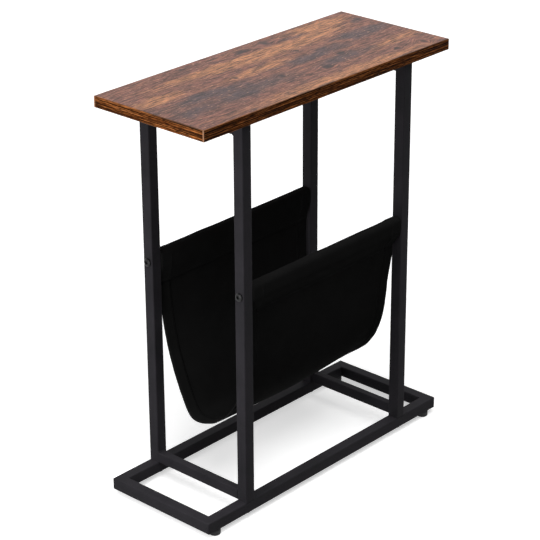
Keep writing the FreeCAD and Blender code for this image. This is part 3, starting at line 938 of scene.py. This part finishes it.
def sling_cloth(section, look):
    """The cloth as one sheet: the section run out along the bars, cut into columns and hung."""
    bm = bmesh.new()
    run_layer = bm.verts.layers.float.new("run")
    uv = bm.loops.layers.uv.new("cloth")
    start = []
    for point, run in zip(section.points, section.runs):
        vert = bm.verts.new((-section.half_length, point.y, point.z))
        vert[run_layer] = run
        start.append(vert)
    edges = [bm.edges.new(pair) for pair in zip(start, start[1:])]
    far = drawn_out(bm, edges)[0]
    bmesh.ops.translate(bm, verts=far, vec=(2 * section.half_length, 0, 0))
    long_edges = [edge for edge in bm.edges if abs(edge.verts[0].co.x - edge.verts[1].co.x) > look.step]
    columns = round(2 * section.half_length / look.step)
    bmesh.ops.subdivide_edges(bm, edges=long_edges, cuts=columns, use_grid_fill=True)
    for offset in (-HEM_STEP, 0.0, look.row_inset, 2 * look.row_inset):
        for x in (-section.hem_line - offset, section.hem_line + offset):
            geometry = bm.verts[:] + bm.edges[:] + bm.faces[:]
            bmesh.ops.bisect_plane(bm, geom=geometry, dist=ON_CUT, plane_co=(x, 0, 0), plane_no=(1, 0, 0))
    hem_weight = bm.verts.layers.deform.verify()
    for face in bm.faces:
        for loop in face.loops:
            loop[uv].uv = (loop.vert.co.x, loop.vert[run_layer])
    for vert in bm.verts:
        vert[hem_weight][0] = 1.0 if abs(vert.co.x) > section.hem_line - ON_HEM else 0.0
        vert.co = cloth_point(section, look, vert.co.x, vert[run_layer])
    bmesh.ops.recalc_face_normals(bm, faces=bm.faces)
    return bm


def one_stitch(look):
    """One stitch along Z: a thick middle that thins to both ends, where the thread dips into the cloth."""
    bm = bmesh.new()
    shape = Matrix.Diagonal((look.stitch_radius, look.stitch_radius, look.stitch / 2, 1))
    bmesh.ops.create_uvsphere(bm, u_segments=6, v_segments=4, radius=1, matrix=shape)
    mesh = bpy.data.meshes.new("one_stitch")
    bm.to_mesh(mesh)
    bm.free()
    return mesh


def stitch_row(bm, stitch, section, look, places, lift):
    """Stitches along a row of (x, run) places on the cloth, lying on the face at lift from its middle."""
    for (x, run), (next_x, next_run) in zip(places, places[1:]):
        start = cloth_point(section, look, x, run)
        end = cloth_point(section, look, next_x, next_run)
        outward = section.at((run + next_run) / 2)[1]
        place = (start + end) / 2 + outward * lift
        copy = stitch.copy()
        copy.transform(Matrix.Translation(place) @ along(end - start))
        bm.from_mesh(copy)
        bpy.data.meshes.remove(copy)


def even_places(low, high, spacing):
    """Places from low to high, as close to a spacing as evenness allows."""
    count = round((high - low) / spacing)
    return [low + (high - low) * index / count for index in range(count + 1)]


def sling_stitches(section, look):
    """Lock stitches along both sleeve seams and both side hems, on both faces of the cloth."""
    bm = bmesh.new()
    stitch = one_stitch(look)
    sewn_half = section.half_length - SEWN_MARGIN
    outer_face = look.cloth / 2
    flap_face = -FLAP_CLEAR * look.cloth - look.cloth / 2
    for seam, inward in zip(section.seam_runs, (1, -1)):
        level = seam + inward * look.seam_drop
        row = [(x, level) for x in even_places(-sewn_half, sewn_half, look.pitch)]
        for lift in (outer_face, flap_face):
            stitch_row(bm, stitch, section, look, row, lift)
    for x in (-section.hem_row, section.hem_row):
        row = [(x, run) for run in even_places(0.0, section.run, look.pitch)]
        for lift in (look.cloth, -look.cloth):
            stitch_row(bm, stitch, section, look, row, lift)
    bpy.data.meshes.remove(stitch)
    return bm


class HangSling(bpy.types.Operator):
    """Hang the canvas sling round its two bars and sew its sleeves and hems"""

    bl_idname = "magazine_table.hang_sling"
    bl_label = "Hang sling"

    def execute(self, context):
        look = context.scene.magazine_table.sling
        section = SlingSection(look)
        cloth = new_piece("sling_cloth", sling_cloth(section, look), canvas(look, section), TABLE,
                          ["magazine_sling"])
        cloth.vertex_groups.new(name="hem")
        smooth = cloth.modifiers.new("Smooth", "SUBSURF")
        smooth.levels = 1
        smooth.render_levels = 1
        layers = cloth.modifiers.new("Layers", "SOLIDIFY")
        layers.thickness = HEM_LAYERS * look.cloth
        layers.offset = 0
        layers.vertex_group = "hem"
        layers.thickness_vertex_group = 1 / HEM_LAYERS
        stitches = new_piece("sling_stitches", sling_stitches(section, look), sewing_thread(look), TABLE)
        return {"FINISHED"}


# Screws and feet

# Sides of a screw, and steps of its dome
SCREW_SIDES = 24
DOME_STEPS = 5
# Width of a shank's tip, and length of its taper, in shares of the shank's radius
TIP_WIDTH = 0.85
TIP_TAPER = 0.2
# How much wider a socket's mouth is than the socket, and how deep that edge is broken
SOCKET_MOUTH = 1.06
SOCKET_EDGE = 0.15 * MM
# Steps of one turn of a stud's thread
THREAD_STEPS = 16
# Sides of a foot pad, steps of its rounded lower edge, and start and middle of its eased upper edge
PAD_SIDES = 32
PAD_STEPS = 5
PAD_EDGE = 0.8 * MM
PAD_EASE = 0.25 * MM
# Closeness at which two points of a turned shape are one
SAME_POINT = 0.01 * MM


def black_screw_steel(look):
    """Blackened steel screws, hot-blacked and oiled: dark, semi-gloss, with fine turning marks."""
    material, tree = new_material("Blackened screw steel")
    black, rough = mottled(tree, look.oxide, size=0.9, detail=3.0,
                           tones=(0.75, 1.25), roughs=(0.24, 0.42))[:2]
    surface = add(tree, "ShaderNodeBsdfPrincipled",
                  {"Base Color": black, "Roughness": rough, "Specular IOR Level": 0.2})
    add(tree, "ShaderNodeOutputMaterial", {"Surface": surface})
    return material


def zinc_plate(look):
    """Bright zinc-plated steel: pale grey metal with a faint cloudy passivation."""
    material, tree = new_material("Zinc-plated steel")
    plate, rough = mottled(tree, look.zinc, size=3, detail=4.0,
                           tones=(0.8, 1.1), roughs=(0.25, 0.42))[:2]
    surface = add(tree, "ShaderNodeBsdfPrincipled",
                  {"Base Color": plate, "Roughness": rough, "Metallic": 1.0})
    add(tree, "ShaderNodeOutputMaterial", {"Surface": surface})
    return material


def moulded_plastic(look):
    """Black moulded polyethylene: waxy and matt, with a fine spark-eroded grain from its mould."""
    material, tree = new_material("Black moulded polyethylene")
    black, rough, grain = mottled(tree, look.plastic, size=0.7, detail=3.0,
                                  tones=(0.75, 1.25), roughs=(0.5, 0.68))
    bump = add(tree, "ShaderNodeBump", {"Height": grain, "Strength": 0.25, "Distance": 0.08 * MM})
    surface = add(tree, "ShaderNodeBsdfPrincipled",
                  {"Base Color": black, "Roughness": rough, "Normal": bump, "Specular IOR Level": 0.3})
    add(tree, "ShaderNodeOutputMaterial", {"Surface": surface})
    return material


def hexagon_share(angle):
    """Radius of a hexagon at an angle, in units of half its width across flats."""
    side = math.pi / 3
    return 1 / math.cos((angle + side / 2) % side - side / 2)


def round_rings(look, shank_length):
    """Radius and height of a screw's round rings, from the shank's tip up over the domed head."""
    shank = look.shank / 2
    head = look.head_width / 2
    crown = look.head_crown / 2
    rise = look.head_height - look.head_rim
    rings = [
        (shank * TIP_WIDTH, -shank_length),
        (shank, -shank_length + shank * TIP_TAPER),
        (shank, 0.0),
        (head, 0.0),
        (head, look.head_rim),
    ]
    for index in range(1, DOME_STEPS + 1):
        angle = math.pi / 2 * index / DOME_STEPS
        rings.append((crown + (head - crown) * math.cos(angle), look.head_rim + rise * math.sin(angle)))
    return rings


def socket_rings(look):
    """Half width and height of a screw's hexagon rings, from the socket's mouth to its floor."""
    socket = look.socket / 2
    return [
        (socket * SOCKET_MOUTH, look.head_height),
        (socket, look.head_height - SOCKET_EDGE),
        (socket, look.head_height - look.socket_depth),
    ]


def button_screw(bm, look, seat, shank_length):
    """A button-head screw: shank, domed head and hexagon socket. seat places the plane under its head."""
    rings = round_rings(look, shank_length)
    steps = [(ring, False) for ring in rings[1:]] + [(ring, True) for ring in socket_rings(look)]
    tip_radius, tip_height = rings[0]
    screw, edges = capped_ring(bm, SCREW_SIDES, tip_radius, Matrix.Translation((0, 0, tip_height)))
    for (radius, height), hexagonal in steps:
        ring, edges = drawn_out(bm, edges)
        for vert in ring:
            angle = math.atan2(vert.co.y, vert.co.x)
            reach = radius * hexagon_share(angle) if hexagonal else radius
            vert.co = (reach * math.cos(angle), reach * math.sin(angle), height)
        screw += ring
    bmesh.ops.contextual_create(bm, geom=edges)
    bmesh.ops.transform(bm, matrix=seat, verts=screw)


def seat_at(place, direction):
    """The seat of a screw whose head is at a place and faces a direction."""
    return Matrix.Translation(place) @ along(direction)


def like_screws(look, steel, name, node, seats, shank_length):
    """One piece of like screws in their seats, in place of a construction node."""
    bm = bmesh.new()
    for seat in seats:
        button_screw(bm, look, seat, shank_length)
    bmesh.ops.recalc_face_normals(bm, faces=bm.faces)
    new_piece(name, bm, steel, TABLE, [node], sharp=35)


class TurnScrews(bpy.types.Operator):
    """Turn the button-head screws of the sling, the board and the legs"""

    bl_idname = "magazine_table.turn_screws"
    bl_label = "Turn screws"

    def execute(self, context):
        look = context.scene.magazine_table.screws
        steel = black_screw_steel(look)
        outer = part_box("leg_rear_right")[1].x
        bars = [middle("sling_bar_front"), middle("sling_bar_rear")]
        seats = [seat_at((sign * outer, bar.y, bar.z), (sign, 0, 0)) for sign in (-1, 1) for bar in bars]
        like_screws(look, steel, "sling_button_screws", "sling_screws", seats, look.bolt_length)
        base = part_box("base_rail_front")[0].z
        legs = [middle(f"leg_{corner}") for corner in CORNERS]
        seats = [seat_at((leg.x, leg.y, base), DOWN) for leg in legs]
        like_screws(look, steel, "leg_button_screws", "leg_bolts", seats, look.bolt_length)
        under_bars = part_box("top_crossbar_left")[0].z
        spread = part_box("board_screws")[1].y - look.head_width / 2
        bars = [middle(f"top_crossbar_{side}") for side in ("left", "right")]
        seats = [seat_at((bar.x, sign * spread, under_bars), DOWN) for bar in bars for sign in (-1, 1)]
        like_screws(look, steel, "board_button_screws", "board_screws", seats, look.board_screw_length)
        return {"FINISHED"}


def threaded_stud(look, low, high):
    """A threaded stud between two levels: one thread profile screwed up its length, closed at both ends."""
    bm = bmesh.new()
    radius = look.shank / 2
    pitch = look.thread_pitch
    root = radius - look.thread_depth
    turns = math.floor((high.z - low.z) / pitch) - 1
    axis = (low + high) / 2
    outline = [(root, 0), (radius, pitch / 2), (root, pitch)]
    profile = [bm.verts.new((axis.x + r, axis.y, low.z + z)) for r, z in outline]
    edges = [bm.edges.new(pair) for pair in zip(profile, profile[1:])]
    bmesh.ops.spin(bm, geom=profile + edges, cent=(axis.x, axis.y, 0), axis=(0, 0, 1),
                   dvec=(0, 0, pitch / THREAD_STEPS), angle=2 * math.pi * turns, steps=THREAD_STEPS * turns)
    bmesh.ops.remove_doubles(bm, verts=bm.verts, dist=SAME_POINT)
    bmesh.ops.holes_fill(bm, edges=bm.edges)
    bmesh.ops.recalc_face_normals(bm, faces=bm.faces)
    return bm


def foot_pad(look, low, high, stud_low):
    """A moulded pad: rounded lower edge, eased upper edge, and a blind hole for its stud."""
    bm = bmesh.new()
    axis = (low + high) / 2
    radius = (high.x - low.x) / 2
    rounding = look.foot_rounding
    hole = look.shank / 2
    outline = [(0, low.z)]
    for index in range(PAD_STEPS + 1):
        angle = -math.pi / 2 * (1 - index / PAD_STEPS)
        inset = rounding * (1 - math.cos(angle))
        outline.append((radius - inset, low.z + rounding * (1 + math.sin(angle))))
    outline += [
        (radius, high.z - PAD_EDGE),
        (radius - PAD_EASE, high.z - PAD_EASE),
        (radius - PAD_EDGE, high.z),
        (hole, high.z),
        (hole, stud_low),
        (0, stud_low),
    ]
    verts = [bm.verts.new((axis.x + r, axis.y, z)) for r, z in outline]
    edges = [bm.edges.new(pair) for pair in zip(verts, verts[1:])]
    bmesh.ops.spin(bm, geom=verts + edges, cent=(axis.x, axis.y, 0), axis=(0, 0, 1), angle=2 * math.pi,
                   steps=PAD_SIDES, use_merge=True)
    bmesh.ops.remove_doubles(bm, verts=bm.verts, dist=SAME_POINT)
    bmesh.ops.recalc_face_normals(bm, faces=bm.faces)
    return bm


class TurnFeet(bpy.types.Operator):
    """Turn the four screw-in feet and plate the small steel parts"""

    bl_idname = "magazine_table.turn_feet"
    bl_label = "Turn feet"

    def execute(self, context):
        look = context.scene.magazine_table.screws
        plastic = moulded_plastic(look)
        zinc = zinc_plate(look)
        for corner in CORNERS:
            pad = f"foot_pad_{corner}"
            stud = f"foot_stud_{corner}"
            body = f"foot_{corner}"
            stud_low, stud_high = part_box(stud)
            new_piece(f"foot_{corner}_pad", foot_pad(look, *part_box(pad), stud_low.z), plastic, body,
                      [pad], sharp=50)
            new_piece(f"foot_{corner}_threaded_stud", threaded_stud(look, stud_low, stud_high), zinc, body,
                      [stud], sharp=60)
        finish_nodes(zinc, ["board_inserts", "leg_plugs", "foot_rivet_nuts", "sling_bar_plugs"])
        return {"FINISHED"}


# Stage

# Half the width of the floor in metres, and how far it lies under the feet
FLOOR_HALF = 12.0
FLOOR_DROP = 0.1 * MM


def seen_directly(tree):
    """1 for camera, glossy and transmission rays, which show the white of the backdrop."""
    rays = add(tree, "ShaderNodeLightPath").node.outputs
    seen = rays["Is Camera Ray"]
    for kind in ("Is Glossy Ray", "Is Transmission Ray"):
        seen = add(tree, "ShaderNodeMath", {0: seen, 1: rays[kind]}, operation="MAXIMUM")
    return seen


def white_paper(look):
    """White paper floor: it keeps the table's shadow, and is lifted to white where it is seen directly."""
    material, tree = new_material("White paper floor")
    shadowed = add(tree, "ShaderNodeBsdfDiffuse", {"Color": look.paper})
    lift = add(tree, "ShaderNodeEmission", {"Strength": look.paper_lift})
    seen = add(tree, "ShaderNodeAddShader", {0: shadowed, 1: lift})
    bounce = add(tree, "ShaderNodeBsdfDiffuse", {"Color": look.paper_bounce})
    surface = add(tree, "ShaderNodeMixShader", {0: seen_directly(tree), 1: bounce, 2: seen})
    add(tree, "ShaderNodeOutputMaterial", {"Surface": surface})
    return material


def lay_floor(look):
    """A wide sheet of white paper just under the table's feet."""
    bm = bmesh.new()
    under_feet = Matrix.Translation((0, 0, -FLOOR_DROP))
    bmesh.ops.create_grid(bm, x_segments=1, y_segments=1, size=FLOOR_HALF, matrix=under_feet)
    mesh = bpy.data.meshes.new("floor")
    bm.to_mesh(mesh)
    bm.free()
    mesh.materials.append(white_paper(look))
    floor = bpy.data.objects.new("floor", mesh)
    bpy.context.scene.collection.objects.link(floor)


def hang_backdrop(look):
    """An even white all round: full where it is seen directly, weak where it lights the table."""
    world = bpy.data.worlds.new("studio")
    world.use_nodes = True
    tree = world.node_tree
    tree.nodes.clear()
    strength = add(tree, "ShaderNodeMix", {0: seen_directly(tree), 2: look.sky, 3: 1.0}, data_type="FLOAT")
    sky = add(tree, "ShaderNodeBackground", {"Color": (1, 1, 1, 1), "Strength": strength})
    add(tree, "ShaderNodeOutputWorld", {"Surface": sky})
    bpy.context.scene.world = world


def broad_lamp(name, source, spread, strength):
    """A large, far lamp that lights every place alike from the direction of its source."""
    data = bpy.data.lights.new(name, "SUN")
    data.angle = spread
    data.energy = strength
    lamp = bpy.data.objects.new(name, data)
    lamp.rotation_euler = Vector(source).to_track_quat("Z", "Y").to_euler()
    bpy.context.scene.collection.objects.link(lamp)


def soft_box(name, place, target, size, power):
    """A square lamp near the table, turned to a target."""
    data = bpy.data.lights.new(name, "AREA")
    data.size = size
    data.energy = power
    lamp = bpy.data.objects.new(name, data)
    lamp.location = place
    lamp.rotation_euler = (Vector(place) - Vector(target)).to_track_quat("Z", "Y").to_euler()
    lamp.visible_camera = False
    bpy.context.scene.collection.objects.link(lamp)


def place_camera(look):
    """The camera at the view's angle, with its small roll."""
    flat = math.cos(look.elevation)
    back = Vector((math.sin(look.azimuth) * flat, -math.cos(look.azimuth) * flat, math.sin(look.elevation)))
    data = bpy.data.cameras.new("camera")
    data.lens = look.lens
    camera = bpy.data.objects.new("camera", data)
    camera.location = Vector(look.aim) + back * look.distance
    turn = back.to_track_quat("Z", "Y") @ Quaternion((0, 0, 1), look.roll)
    camera.rotation_euler = turn.to_euler()
    bpy.context.scene.collection.objects.link(camera)
    bpy.context.scene.camera = camera


class SetStage(bpy.types.Operator):
    """Lay the white floor, hang the backdrop and the lamps, and place the camera"""

    bl_idname = "magazine_table.set_stage"
    bl_label = "Set stage"

    def execute(self, context):
        look = context.scene.magazine_table.stage
        lay_floor(look)
        hang_backdrop(look)
        level_target = (0, 0, look.side_place[2])
        soft_box("side_lamp", look.side_place, level_target, look.side_size, look.side_light)
        broad_lamp("rear_lamp", look.rear_source, look.rear_spread, look.rear_light)
        broad_lamp("top_lamp", look.top_source, look.top_spread, look.top_light)
        place_camera(look)
        context.scene.view_settings.view_transform = "Standard"
        return {"FINISHED"}


# Add-on

OPERATORS = [FinishBoard, FinishFrame, HangSling, TurnScrews, TurnFeet, SetStage]


class TablePanel(bpy.types.Panel):
    """The table's steps in the sidebar"""

    bl_idname = "VIEW3D_PT_magazine_table"
    bl_label = "Magazine table"
    bl_space_type = "VIEW_3D"
    bl_region_type = "UI"
    bl_category = "Magazine table"

    def draw(self, context):
        for operator in OPERATORS:
            self.layout.operator(operator.bl_idname)


CLASSES = [BoardLook, SteelLook, SlingLook, ScrewLook, StageLook, TableLook, *OPERATORS, TablePanel]


def register():
    """Register the add-on's classes and the table's settings."""
    for item in CLASSES:
        bpy.utils.register_class(item)
    bpy.types.Scene.magazine_table = PointerProperty(type=TableLook)


def unregister():
    """Take the table's settings and the add-on's classes away again."""
    del bpy.types.Scene.magazine_table
    for item in reversed(CLASSES):
        bpy.utils.unregister_class(item)


def main():
    """Run each step of the table in turn."""
    register()
    for operator in OPERATORS:
        step = operator.bl_idname.split(".")[1]
        getattr(bpy.ops.magazine_table, step)()


if __name__ == "__main__":
    main()
